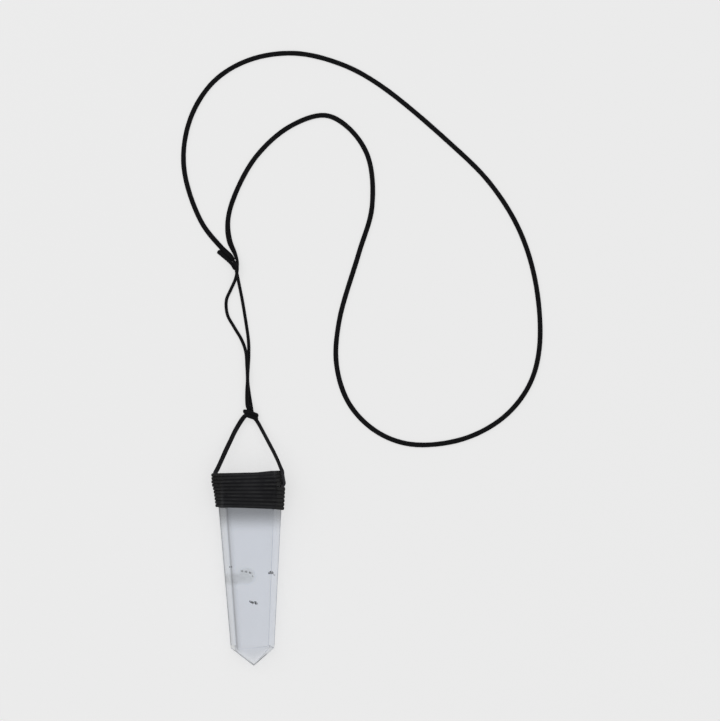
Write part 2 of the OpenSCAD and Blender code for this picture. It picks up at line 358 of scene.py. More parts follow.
# Neck cord, from its cut tail through the fold and round the loop to its other end
NECK_ROUTE = [
    (-0.0132, 0.1392, LAY_Z, 0.0019),
    (-0.0101, 0.1365, 0.0010, 0.0017),
    (-0.0074, 0.13375, 0.0021, 0.0014),
    (-0.00575, 0.13195, 0.0021, 0.0020),
    (-0.00495, 0.1342, 0.0021, 0.0011),
    (-0.0059, 0.1378, 0.00165, 0.0016),
    (-0.0085, 0.1441, LAY_Z, 0.0023),
    *lying(
        NECK_W,
        (-0.0092, 0.1527), (-0.0064, 0.1635), (0.0031, 0.1809), (0.0179, 0.1942),
        (0.0333, 0.1992), (0.0433, 0.1942), (0.0524, 0.1811), (0.0542, 0.1589),
        (0.0484, 0.1385), (0.0397, 0.1084), (0.0386, 0.0894), (0.0440, 0.0726),
        (0.0557, 0.0604), (0.0712, 0.0545), (0.0939, 0.0567), (0.1119, 0.0662),
        (0.1231, 0.0800), (0.1278, 0.0964), (0.1265, 0.1238), (0.1193, 0.1481),
        (0.1062, 0.1692), (0.0883, 0.1871), (0.0578, 0.2124), (0.0406, 0.2217),
        (0.0201, 0.2265), (0.0000, 0.2235), (-0.0155, 0.2140), (-0.0258, 0.1975),
        (-0.0286, 0.1767), (-0.0211, 0.1527),
    ),
    (-0.0123, 0.1413, LAY_Z, JOINT_W),
    (-0.0083, 0.13745, LAY_Z, JOINT_W),
    (-0.00745, 0.13625, 0.00075, 0.0020),
]

# Pendant cord: from the binding up the left leg, through the knot, round the fold of
# the neck cord, back through the knot and down the right leg to the binding
PENDANT_ROUTE = [
    *raised(
        LEFT_LEG_W,
        (-0.0150, 0.0406, 0.0079), (-0.0149, 0.0412, 0.0081), (-0.0147, 0.04185, 0.00825),
        (-0.0143, 0.0427, 0.00815), (-0.0137, 0.0438, 0.0079), (-0.0121, 0.04725, 0.0069),
        (-0.01015, 0.0516, 0.0055), (-0.00805, 0.05605, 0.0041),
        (-0.00565, 0.06095, 0.0029),
    ),
    (-0.00195, 0.06665, 0.0019, 0.0018),
    (-0.0003, 0.0678, 0.0021, 0.0014),
    (0.0001, 0.0692, 0.0021, STRAND_W),
    (-0.00045, 0.0711, 0.0021, 0.0016),
    (-0.00075, 0.0735, 0.0021, 0.0015),
    *raised(
        STRAND_W,
        (-0.00085, 0.0780, 0.0021), (-0.0006, 0.0830, 0.0021), (-0.00085, 0.0890, 0.0021),
        (-0.0014, 0.0955, 0.0019), (-0.0032, 0.1005, 0.0010),
    ),
    *lying(
        STRAND_W,
        (-0.0065, 0.1061), (-0.0094, 0.1115), (-0.00985, 0.1179),
    ),
    *raised(
        STRAND_W,
        (-0.0080, 0.12235, 0.0009), (-0.00595, 0.1269, 0.0020), (-0.00525, 0.1299, 0.0031),
        (-0.0051, 0.1324, 0.00355), (-0.0062, 0.13435, 0.00315), (-0.00652, 0.1349, 0.0021),
        (-0.0062, 0.13435, 0.00105),
    ),
    *lying(
        STRAND_W,
        (-0.00585, 0.1324), (-0.0053, 0.1300), (-0.0046, 0.1265), (-0.0029, 0.1180),
        (-0.0014, 0.1090), (-0.00015, 0.1000), (0.0000, 0.0930), (-0.0005, 0.0830),
        (0.0000, 0.0780),
    ),
    (0.0008, 0.0730, 0.0014, 0.0012),
    (0.0015, 0.0690, 0.0021, 0.0011),
    (0.0018, 0.0668, 0.0021, STRAND_W),
    *raised(
        RIGHT_LEG_W,
        (0.0036, 0.0647, 0.0020), (0.00595, 0.06055, 0.0030), (0.0083, 0.05615, 0.0046),
        (0.01065, 0.05175, 0.0066),
    ),
    (0.0128, 0.0473, 0.0087, 0.0014),
    (0.0142, 0.0439, 0.0101, 0.0015),
    (0.0148, 0.0425, 0.0105, 0.0015),
    *raised(
        STRAND_W,
        (0.0150, 0.0412, 0.0105), (0.0154, 0.0386, 0.0103), (0.0156, 0.0375, 0.0102),
        (0.0154, 0.0368, 0.0101), (0.0150, 0.0363, 0.0098), (0.0146, 0.0360, 0.0099),
        (0.0140, 0.0362, 0.0107),
    ),
]


def length_setting(name, description, default, smallest=0.0):
    """A setting in metres."""
    return bpy.props.FloatProperty(
        name=name,
        description=description,
        default=default,
        min=smallest,
        precision=5,
        subtype="DISTANCE",
        unit="LENGTH",
    )


def colour_setting(name, description, default):
    """A setting that holds a colour."""
    return bpy.props.FloatVectorProperty(
        name=name,
        description=description,
        default=default,
        size=3,
        subtype="COLOR",
        min=0.0,
        max=1.0,
    )


def amount_setting(name, description, default, least=0.0, most=1000.0):
    """A setting that holds a plain amount."""
    return bpy.props.FloatProperty(
        name=name, description=description, default=default, min=least, max=most
    )


def count_setting(name, description, default, least, most):
    """A setting that holds a whole number."""
    return bpy.props.IntProperty(
        name=name, description=description, default=default, min=least, max=most
    )


class CordSettings(bpy.types.PropertyGroup):
    """Finish of the black cord"""

    ring_gap: length_setting(
        "Ring gap", "Distance between the rings of the slack cord's mesh", 0.0004, 0.0001
    )
    tight_ring_gap: length_setting(
        "Tight ring gap", "Distance between the rings of a wound or thin cord", 0.00028, 0.0001
    )
    sides: count_setting("Sides", "Number of faces round the cord", 16, 8, 32)
    squareness: amount_setting(
        "Squareness", "Power of the section: 1 is an ellipse, less is boxier", 0.86, 0.5, 1.0
    )
    fuzz: length_setting("Fuzz", "Width that the soft fibres add to a cord", 0.00018)
    unevenness: length_setting(
        "Unevenness", "Height of the small lumps that the soft cord has", 0.00007
    )
    strands_round: count_setting(
        "Strands round", "Number of braided strands round the cord", 9, 4, 24
    )
    # Dark is a painted shade between the braided strands, light the colour of their tops, which a
    # finish can raise further as a painted highlight
    dark: colour_setting("Dark", "Colour between the braided strands", (0.012, 0.012, 0.0135))
    light: colour_setting(
        "Light", "Colour on top of the braided strands", (0.030, 0.030, 0.033)
    )


class QuartzSettings(bpy.types.PropertyGroup):
    """Finish of the quartz point"""

    edge_width: length_setting(
        "Edge width", "Width of the worn edges between the faces", 0.00018, 0.00002
    )
    tint: colour_setting(
        "Tint", "Colour that light takes on inside the quartz", (0.22, 0.42, 0.83)
    )
    depth: amount_setting(
        "Depth of tint", "How strongly a metre of the quartz takes on the tint", 10.0
    )
    seed: count_setting("Seed", "Seed of the flakes inside the quartz", 5, 0, 1000)


class StageSettings(bpy.types.PropertyGroup):
    """Floor and light"""

    floor_colour: colour_setting("Floor", "Colour of the pale floor", (0.80, 0.80, 0.80))
    glow: amount_setting(
        "Glow", "Light that comes through the floor, as on a light table", 0.6
    )
    zenith: amount_setting(
        "Overhead light", "Brightness of the soft light straight above", 0.42
    )
    horizon: amount_setting(
        "Low light", "Brightness of the room at the height of the floor", 0.12
    )


class NecklaceSettings(bpy.types.PropertyGroup):
    """Everything that a user may change on the necklace"""

    cord: bpy.props.PointerProperty(type=CordSettings)
    quartz: bpy.props.PointerProperty(type=QuartzSettings)
    stage: bpy.props.PointerProperty(type=StageSettings)


def is_vector(value):
    """True for a tuple, and for a flow that carries a vector or a colour."""
    if isinstance(value, Flow):
        return value.socket.type in ("VECTOR", "RGBA")
    return isinstance(value, tuple)


class Flow:
    """A number or vector on its way through a node tree: arithmetic on it adds nodes."""

    def __init__(self, graph, socket):
        self.graph = graph
        self.socket = socket

    def of(self, output):
        """Another output of the same node."""
        return Flow(self.graph, self.socket.node.outputs[output])

    def run(self, operation, *values):
        """The Math or Vector Math node that works on these values."""
        kind = "ShaderNodeVectorMath" if any(map(is_vector, values)) else "ShaderNodeMath"
        output = 1 if operation in ("DOT_PRODUCT", "LENGTH") else 0
        return self.graph.node(kind, dict(enumerate(values)), output, operation=operation)

    def __add__(self, other):
        return self.run("ADD", self, other)

    def __sub__(self, other):
        return self.run("SUBTRACT", self, other)

    def __rsub__(self, other):
        return self.run("SUBTRACT", other, self)

    def __mul__(self, other):
        return self.run("MULTIPLY", self, other)

    def __truediv__(self, other):
        return self.run("DIVIDE", self, other)

    def __pow__(self, other):
        return self.run("POWER", self, other)

    def __gt__(self, other):
        return self.run("GREATER_THAN", self, other)

    __radd__ = __add__
    __rmul__ = __mul__

    def only(self, operation, *values):
        """An operation of its own name on this flow, such as SINE or MAXIMUM."""
        return self.run(operation, self, *values)


class Graph:
    """A node tree, and the one way in which nodes are added to it."""

    def __init__(self, tree):
        self.tree = tree

    def socket(self, sockets, key):
        """The socket of that index, identifier or name."""
        if isinstance(key, int):
            return sockets[key]
        for found in sockets:
            if found.identifier == key:
                return found
        return sockets[key]

    def feed(self, socket, value):
        """Links a flow to the socket, or sets the socket to a value."""
        if isinstance(value, Flow):
            self.tree.links.new(value.socket, socket)
        elif socket.type == "RGBA":
            socket.default_value = (*tuple(value)[:3], 1.0)
        elif socket.type == "VECTOR" and not hasattr(value, "__len__"):
            socket.default_value = (value, value, value)
        else:
            socket.default_value = value

    def node(self, kind, inputs=None, output=0, **settings):
        """Adds a node with its settings first, then its inputs, and gives one output."""
        made = self.tree.nodes.new(kind)
        for name, value in settings.items():
            if name == "stops":
                ramp = made.color_ramp
                while len(ramp.elements) < len(value):
                    ramp.elements.new(1.0)
                for element, (place, colour) in zip(ramp.elements, value):
                    element.position = place
                    element.color = (*colour, 1.0)
            else:
                setattr(made, name, value)
        for key, value in (inputs or {}).items():
            self.feed(self.socket(made.inputs, key), value)
        if not made.outputs:
            return None
        return Flow(self, self.socket(made.outputs, output))

    def mix(self, factor, first, second, kind="Float"):
        """Mix of two numbers or colours by a factor."""
        data = "RGBA" if kind == "Color" else "FLOAT"
        inputs = {"Factor_Float": factor, "A_" + kind: first, "B_" + kind: second}
        return self.node("ShaderNodeMix", inputs, "Result_" + kind, data_type=data)

    def blend(self, factor, first, second):
        """Mix of two colours by a factor."""
        return self.mix(factor, first, second, "Color")

    def ramp(self, value, first, last, at_first, at_last):
        """Smooth step of a number from one value to another between two places."""
        names = ("Value", "From Min", "From Max", "To Min", "To Max")
        inputs = dict(zip(names, (value, first, last, at_first, at_last)))
        return self.node("ShaderNodeMapRange", inputs, interpolation_type="SMOOTHSTEP")

    def noise(self, vector, scale, detail=3.0, roughness=0.55):
        """Noise at a number of waves to a metre."""
        inputs = {"Vector": vector, "Scale": scale, "Detail": detail, "Roughness": roughness}
        return self.node("ShaderNodeTexNoise", inputs)

    def place(self):
        """The place on the object, in metres."""
        return self.node("ShaderNodeTexCoord", output="Object")

    def parts(self, vector):
        """The three numbers of a vector."""
        split = self.node("ShaderNodeSeparateXYZ", {0: vector})
        return [split.of(k) for k in range(3)]

    def join(self, x, y, z=0.0):
        """The vector of three numbers."""
        return self.node("ShaderNodeCombineXYZ", {0: x, 1: y, 2: z})

    def bump(self, strength, distance, height):
        """The way a surface faces when a height roughens it."""
        inputs = {"Strength": strength, "Distance": distance, "Height": height}
        return self.node("ShaderNodeBump", inputs)

    def finish(self, inputs):
        """The shader of a surface."""
        return self.node("ShaderNodeBsdfPrincipled", inputs)


def new_material(name, surface, *look, tint=None):
    """A material with the surface that a function of its graph gives, and a tinted inside."""
    made = bpy.data.materials.new(name)
    made.use_nodes = True
    made.node_tree.nodes.clear()
    graph = Graph(made.node_tree)
    outputs = {"Surface": surface(graph, *look)}
    if tint:
        outputs["Volume"] = tinted_inside(graph, tint)
    graph.node("ShaderNodeOutputMaterial", outputs)
    return made


def waxed_cord(graph, settings, shine, rough, strand_top_highlight, ridge_highlight, paler_below_knot):
    """Surface of soft black cord, whose braided strands cross over and under each other.

    The strands' height sets part of the tone: darker between the strands, a painted shade,
    and paler on their tops. The three numbers after roughness are how much paler the tops
    of the strands are painted, a painted highlight; the strength of the painted highlight
    line along each turn on a flat face, where the binding's sides are also painted darker,
    a painted shade, and greyer beside the leg, a painted light; and how much paler the cord
    is below the knot, which is painted paler still where it lies on the binding, a painted
    light.
    """
    u, v, _ = graph.parts(graph.node("ShaderNodeUVMap", uv_map="UVMap"))
    place = graph.place()
    x, y, _ = graph.parts(place)
    across = u * settings.strands_round
    along = v * (settings.strands_round * WEAVE_PITCH)
    first = across + along
    second = across - along + WEAVE_SHIFT
    odd = (first.only("FLOOR") + second.only("FLOOR")).only("FLOORED_MODULO", 2.0)
    first, second = ((way.only("FRACT") * math.pi).only("SINE") for way in (first, second))
    over = graph.mix(odd, first, second)
    strand = over * (STRAND_LEAST + (1.0 - STRAND_LEAST) * graph.mix(odd, second, first))
    fibres = graph.noise(place, *CORD_FIBRES)
    patches = graph.noise(place, *CORD_PATCHES)
    of_strand, of_fibres, of_patches = TONE_SHARES
    # The strands' height sets part of the tone: painted shade between them, paler tops
    tone = strand * of_strand + fibres * of_fibres + (patches - 0.5) * of_patches
    tone = tone.only("MAXIMUM", 0.0)
    # Colour of the strand tops, raised by a finish as a painted highlight
    light = tuple(channel * strand_top_highlight for channel in settings.light)
    colour = graph.blend(tone, tuple(settings.dark), light)
    # Paler below the knot, and painted lighter still on the binding, a painted light
    if paler_below_knot > 1.0:
        colour = colour * graph.ramp(y, PALER_FULL_Y, PALER_START_Y, paler_below_knot, 1.0)
        colour = colour * graph.ramp(y, TUCK_Y, TUCK_START_Y, TUCK_PAINTED_LIGHT, 1.0)
    # On the binding: the sides painted darker, a painted shade, and greyer beside the leg, a
    # painted light, and a broken painted highlight line along the top of each turn on the front
    if ridge_highlight:
        on_front = graph.ramp(x.only("ABSOLUTE"), *FRONT_X, 1.0, 0.0)
        painted_light_by_leg = graph.ramp(x, *LEG_X, 0.0, 1.0) * graph.ramp(y, *LEG_END_Y, 0.0, 1.0)
        side = graph.blend(painted_light_by_leg, SIDE_PAINTED_SHADE, LEG_SIDE_PAINTED_LIGHT)
        colour = graph.blend(1.0 - on_front, colour, side)
        off_top = (u - 0.25).only("ABSOLUTE")
        line = (1.0 - off_top / RIDGE_REACH).only("MAXIMUM", 0.0)
        breaks = graph.noise(place, *RIDGE_BREAKS) - RIDGE_GAPS
        broken = breaks.only("MAXIMUM", 0.0) * RIDGE_CONTRAST
        colour = graph.blend(line * on_front * broken * ridge_highlight, colour, RIDGE_PAINTED_HIGHLIGHT)
    inputs = {
        "Base Color": colour,
        "Roughness": rough + FIBRE_ROUGH * fibres + GAP_ROUGH * (1.0 - strand),
        "Specular IOR Level": shine,
        "Sheen Weight": 0.01,
        "Sheen Roughness": 0.5,
        "Normal": graph.bump(*CORD_RELIEF, strand * RELIEF_SHARES[0] + fibres * RELIEF_SHARES[1]),
    }
    return graph.finish(inputs)


def clear_quartz(graph, ior, gloss):
    """Surface of clear polished quartz with faint growth lines across its faces."""
    place = graph.place()
    lines = graph.node("ShaderNodeMapping", {"Vector": place, "Scale": GROWTH_STRETCH})
    growth = graph.noise(lines, *QUARTZ_GROWTH)
    rubs = graph.noise(place, *QUARTZ_RUBS)
    cloud = graph.noise(place, *QUARTZ_CLOUD)
    x, y, _ = graph.parts(place)
    # Shade of the binding in the quartz below it, and of the crystal's left edges
    shade = graph.ramp(y, SHADE_END_Y, SHADE_START_Y, 1.0, DEEPEST_SHADE)
    past_edge = (x + y * EDGE_SLOPE + EDGE_SHIFT) / EDGE_REACH + 0.5
    edges = graph.node("ShaderNodeValToRGB", {0: past_edge}, stops=EDGE_SHADES)
    # Painted shade along the outline of the tip, by the distance in from the nearer of its two
    # lines
    inward = None
    for in_x, in_y in (TIP_LEFT_IN, TIP_RIGHT_IN):
        here = (x - TIP_POINT[0]) * in_x + (y - TIP_POINT[1]) * in_y
        inward = inward.only("MINIMUM", here) if inward else here
    line = graph.ramp(inward, TIP_LINE_DARK, TIP_LINE_CLEAR, TIP_LINE_DEPTH, 0.0)
    line = line * graph.ramp(y, TIP_LINE_FULL_Y, TIP_LINE_FADE_Y, 1.0, TIP_LINE_FAINT)
    pale = graph.ramp(inward, TIP_PALE_IN, TIP_PLAIN_IN, TIP_PALER, 0.0)
    pale = pale * graph.ramp(y, TIP_CLEAR_Y, TIP_START_Y, 1.0, 0.0)
    body = graph.blend(cloud, *FACE_SHADES)
    body = body * graph.ramp(y, LOW_Y, SHADE_END_Y, TONE_LOW, TONE_HIGH)
    inputs = {
        "Base Color": body * edges * shade * (1.0 + pale) * (1.0 - line),
        "Roughness": 0.01 + 0.03 * rubs,
        "IOR": ior,
        "Transmission Weight": 1.0,
        "Coat Weight": gloss,
        "Coat Roughness": 0.03,
        "Normal": graph.bump(
            *QUARTZ_RELIEF, growth * GROWTH_SHARE + rubs * (1.0 - GROWTH_SHARE)
        ),
    }
    return graph.finish(inputs)


def worn_edge_painted_shade(graph):
    """Surface of the quartz's worn edges: duller than its faces, and painted darker, a painted
    shade along the edges that is left off on the tip.
    """
    place = graph.place()
    nicks = graph.noise(place, *EDGE_NICKS)
    on_tip = graph.ramp(graph.parts(place)[1], TIP_CLEAR_Y, TIP_START_Y, 1.0, 0.0)
    # Painted shade: the worn edges are painted dark, except on the tip
    worn_and_shaded = graph.blend(nicks, *WORN_EDGE_PAINTED_SHADES)
    inputs = {
        "Base Color": graph.blend(on_tip, worn_and_shaded, UNSHADED_TIP_EDGE),
        "Roughness": 0.2 + 0.3 * nicks,
        "IOR": QUARTZ_IOR,
        "Transmission Weight": 1.0,
    }
    return graph.finish(inputs)


def tinted_inside(graph, settings):
    """Inside of the quartz, which takes a little of the light's red and green."""
    inputs = {"Color": tuple(settings.tint), "Density": settings.depth}
    return graph.node("ShaderNodeVolumeAbsorption", inputs)


def grain(graph, first, second, alpha, waves):
    """Surface of something enclosed in the quartz: two colours and how much it covers."""
    spots = graph.noise(graph.place(), waves)
    inputs = {
        "Base Color": graph.blend(spots, first, second),
        "Roughness": 0.6 + 0.3 * spots,
        "Alpha": alpha + (spots - 0.5) * 0.2,
    }
    return graph.finish(inputs)


def haze(graph):
    """Surface of the thin cloudy veil in the quartz, whose patches fade out all round."""
    place = graph.place()
    wisps = graph.noise(place, *VEIL_WISPS)
    x, y, _ = graph.parts(place)
    cover = x * 0.0
    colour = HAZES[0][4]
    for mid_x, mid_y, half_x, half_y, dark, light, most in HAZES:
        across = (x - mid_x) / half_x
        along = (y - mid_y) / half_y
        reach = (across * across + along * along).only("SQRT")
        here = graph.ramp(reach, HAZE_FULL, 1.0, 1.0, 0.0) * most
        share = here / (here + cover + 0.001)
        colour = graph.blend(share, colour, graph.blend(wisps, dark, light))
        cover = here.only("MAXIMUM", cover)
    inputs = {
        "Base Color": colour,
        "Roughness": 0.7 + 0.2 * wisps,
        "Alpha": cover * (0.2 + 1.2 * wisps),
    }
    return graph.finish(inputs)


def pale_floor(graph, settings):
    """Surface of the plain pale floor, lit from below and above, with a trace of unevenness."""
    colour = tuple(settings.floor_colour)
    darker = tuple(channel * 0.99 for channel in colour)
    inputs = {
        "Base Color": graph.blend(graph.noise(graph.place(), *FLOOR_CLOUD), darker, colour),
        "Roughness": 0.9,
        "Specular IOR Level": 0.0,
        "Emission Color": (1.0, 1.0, 1.0),
        "Emission Strength": settings.glow,
    }
    return graph.finish(inputs)


def mixed(first, second, part):
    """Value or row that lies a part of the way from first to second."""
    if isinstance(first, tuple):
        return tuple(mixed(a, b, part) for a, b in zip(first, second))
    return first + (second - first) * part


def row_gap(first, second):
    """Root of the distance between two rows, so that a curve keeps close to its rows."""
    return max(math.sqrt(math.dist(first[:3], second[:3])), CLOSEST_ROWS)


def span_row(rows, start, part):
    """Row on the smooth curve through the rows, a part of the way along one span."""
    last = len(rows) - 1
    before = rows[start - 1] if start > 0 else mixed(rows[1], rows[0], 2.0)
    after = rows[start + 2] if start + 2 <= last else mixed(rows[last - 1], rows[last], 2.0)
    a, b, c, d = before, rows[start], rows[start + 1], after
    t1 = row_gap(a, b)
    t2 = t1 + row_gap(b, c)
    t3 = t2 + row_gap(c, d)
    t = mixed(t1, t2, part)
    ab = mixed(a, b, t / t1)
    bc = mixed(b, c, (t - t1) / (t2 - t1))
    cd = mixed(c, d, (t - t2) / (t3 - t2))
    abc = mixed(ab, bc, t / t2)
    bcd = mixed(bc, cd, (t - t1) / (t3 - t1))
    return mixed(abc, bcd, (t - t1) / (t2 - t1))


def smooth(rows, steps, lowest=0.0):
    """Rows of the smooth curve through the rows of a route, none below a height."""
    spans = range(len(rows) - 1)
    curve = [span_row(rows, start, k / steps) for start in spans for k in range(steps)]
    curve.append(rows[-1])
    return [(row[0], row[1], max(row[2], lowest), *row[3:]) for row in curve]


def reached_out(rows, start, end):
    """Rows whose first and last are moved on outwards by two lengths."""
    first = mixed(rows[1], rows[0], 1.0 + start / math.dist(rows[0][:3], rows[1][:3]))
    last = mixed(rows[-2], rows[-1], 1.0 + end / math.dist(rows[-1][:3], rows[-2][:3]))
    return [first, *rows[1:-1], last]


def unit(v):
    """The direction of a vector."""
    size = math.hypot(*v)
    return tuple(c / size for c in v)


def carried_ups(rows):
    """Upward direction at each row, squared to the way and carried on from row to row."""
    ups = []
    up = (0.0, 0.0, 1.0)
    for i in range(len(rows)):
        ahead = rows[min(i + 1, len(rows) - 1)]
        behind = rows[max(i - 1, 0)]
        way = unit([ahead[k] - behind[k] for k in range(3)])
        lean = sum(up[k] * way[k] for k in range(3))
        up = unit([up[k] - lean * way[k] for k in range(3)])
        ups.append(up)
    return ups


def crystal_edges(y):
    """The six side edges of the crystal at y, from the left over the front: x and z."""
    part = (y - LOW_Y) / (END_Y - LOW_Y)
    bevel = mixed(BEVEL_LOW, BEVEL_TOP, part)
    half = mixed(LOW_W, TOP_W, part) / 2
    middle = mixed(LOW_MID_X, TOP_MID_X, part)
    left = middle - half
    right = middle + half - NECK_TURN_IN * max(y - NECK_Y, 0.0)
    rise = bevel * BEVEL_RISE
    z = back_rise() * (y - REST_Y)
    return [
        (left, z + rise),
        (left + bevel, z + 2 * rise),
        (right - bevel, z + 2 * rise),
        (right, z + rise),
        (right - bevel, z),
        (left + bevel, z),
    ]


def wound_offset():
    """Distance of the wound cord's middle from the crystal's faces."""
    stretch = 1 / math.cos(math.radians(30))
    return (WOUND_T / 2 + CORNER_GAP + (stretch - 1) * CORNER_R) / stretch


def back_rise():
    """Slope of the crystal's back, which rests on the lowest turn of the binding."""
    lowest_turn_y = FIRST_RIGHT_Y - WOUND_L_RIGHT - LAST_TURN_DROP
    return (wound_offset() + WOUND_T / 2) / (lowest_turn_y - REST_Y)


def turn_y(turn, corner):
    """Place along the crystal of a turn where it passes a corner."""
    last = TURNS - 1
    left = FIRST_LEFT_Y - WOUND_L_LEFT / last * turn
    next_left = FIRST_LEFT_Y - WOUND_L_LEFT / last * (turn + 1)
    right = FIRST_RIGHT_Y - WOUND_L_RIGHT / last * turn
    if corner == 0:
        return left
    if corner == 1:
        return mixed(left, right, BEVEL_SHARE)
    if corner == 2:
        return mixed(left, right, 1 - BEVEL_SHARE)
    if corner == 4:
        return mixed(right, next_left, BEVEL_SHARE)
    if corner == 5:
        return mixed(right, next_left, 1 - BEVEL_SHARE)
    if turn < TURNS_OVER_LEG:
        return FIRST_RIGHT_Y - CLOSE_PITCH * turn
    over_leg = CLOSE_PITCH * (TURNS_OVER_LEG - 1) + LEG_SPACE
    pitch = (WOUND_L_RIGHT - over_leg) / (last - TURNS_OVER_LEG)
    return FIRST_RIGHT_Y - over_leg - pitch * (turn - TURNS_OVER_LEG)


def turn_width(turn, corner):
    """Width that fills the space between a turn and its neighbours at a corner."""
    here = turn_y(turn, corner)
    above = turn_y(turn - 1, corner) - here if turn > 0 else here - turn_y(turn + 1, corner)
    below = here - turn_y(turn + 1, corner) if turn < TURNS - 1 else above
    if corner == 3:
        return min(max(above, below), WIDEST_TURN)
    return min(above, below, WIDEST_TURN) * SNUG


def binding_rows():
    """Rows of the wound cord: x, y, z, width and the way out from the crystal."""
    inset = (CORNER_R - wound_offset()) / math.cos(math.radians(30))
    rows = []
    for turn in range(TURNS):
        for corner in range(6):
            if turn == TURNS - 1 and corner > 4:
                break
            y = turn_y(turn, corner)
            width = turn_width(turn, corner)
            edge_x, edge_z = crystal_edges(y)[corner]
            bulge = LEFT_BULGE * max(1 - turn / BULGED_TURNS, 0.0) if corner == 0 else 0.0
            if corner in (0, 1, 5):
                bulge += LEFT_REACH
            if corner == 0:
                bulge += LEFT_SWELL * math.exp(-(((turn - SWOLLEN_TURN) / SWELL_TURNS) ** 2))
            lift, bends = OUTER_BENDS.get(turn, (0.0, [])) if corner == 2 else (0.0, [])
            way = math.radians(180 - 60 * corner)
            first_here = len(rows)
            for step in range(CORNER_STEPS + 1):
                out = way + math.radians(30 - 60 / CORNER_STEPS * step)
                x = edge_x - bulge - inset * math.cos(way) + CORNER_R * math.cos(out)
                z = edge_z - inset * math.sin(way) + CORNER_R * math.sin(out)
                rows.append((x, y + lift, z, width, math.cos(out), 0.0, math.sin(out)))
            corner_start = rows[first_here]
            for part, bend in reversed(bends):
                bent = mixed(rows[first_here - 1], corner_start, part)
                rows.insert(first_here, (bent[0], bent[1] + bend, *bent[2:]))
    return rows


def knot_rows():
    """Rows of the knot: its cut stub, then its coil: x, y, z, width and the way out."""
    half_across = (KNOT_W - KNOT_CORD_T) / 2
    half_high = (KNOT_H - KNOT_CORD_T) / 2
    rows = [(*place, KNOT_CORD_W, 0.0, 0.0, 1.0) for place in KNOT_STUB]
    for degrees in KNOT_TURNS:
        turn = math.radians(degrees)
        reach = -half_across * math.cos(turn)
        advance = KNOT_PITCH * (0.5 - (degrees - 90) / 360)
        x = KNOT_MID[0] + reach * math.cos(KNOT_SLOPE)
        y = KNOT_MID[1] + reach * math.sin(KNOT_SLOPE) + advance
        z = KNOT_MID[2] + half_high * math.sin(turn)
        out = unit((-half_high * math.cos(turn), 0.0, half_across * math.sin(turn)))
        rows.append((x, y, z, KNOT_CORD_W, *out))
    return smooth(rows, KNOT_STEPS)


def put(mesh, name, kind, values):
    """Gives each point of a mesh its value of a named attribute."""
    attribute = mesh.attributes.new(name, kind, "POINT")
    field = "vector" if kind == "FLOAT_VECTOR" else "value"
    flat = [c for v in values for c in v] if field == "vector" else list(values)
    attribute.data.foreach_set(field, flat)


def new_tree(name, source, given, result):
    """A node tree from a geometry, named inputs and a material to another geometry."""
    tree = bpy.data.node_groups.new(name, "GeometryNodeTree")
    for label, kind in ((source, "Geometry"), *given, ("Material", "Material")):
        tree.interface.new_socket(label, in_out="INPUT", socket_type="NodeSocket" + kind)
    tree.interface.new_socket(result, in_out="OUTPUT", socket_type="NodeSocketGeometry")
    graph = Graph(tree)
    return graph, graph.node("NodeGroupInput")


def end_tree(graph, given, shape, result):
    """Ends a tree in real faces of the given material."""
    shape = graph.node("GeometryNodeRealizeInstances", {"Geometry": shape})
    inputs = {"Geometry": shape, "Material": given.of("Material")}
    shape = graph.node("GeometryNodeSetMaterial", inputs)
    graph.node("NodeGroupOutput", {result: shape})
    return graph.tree


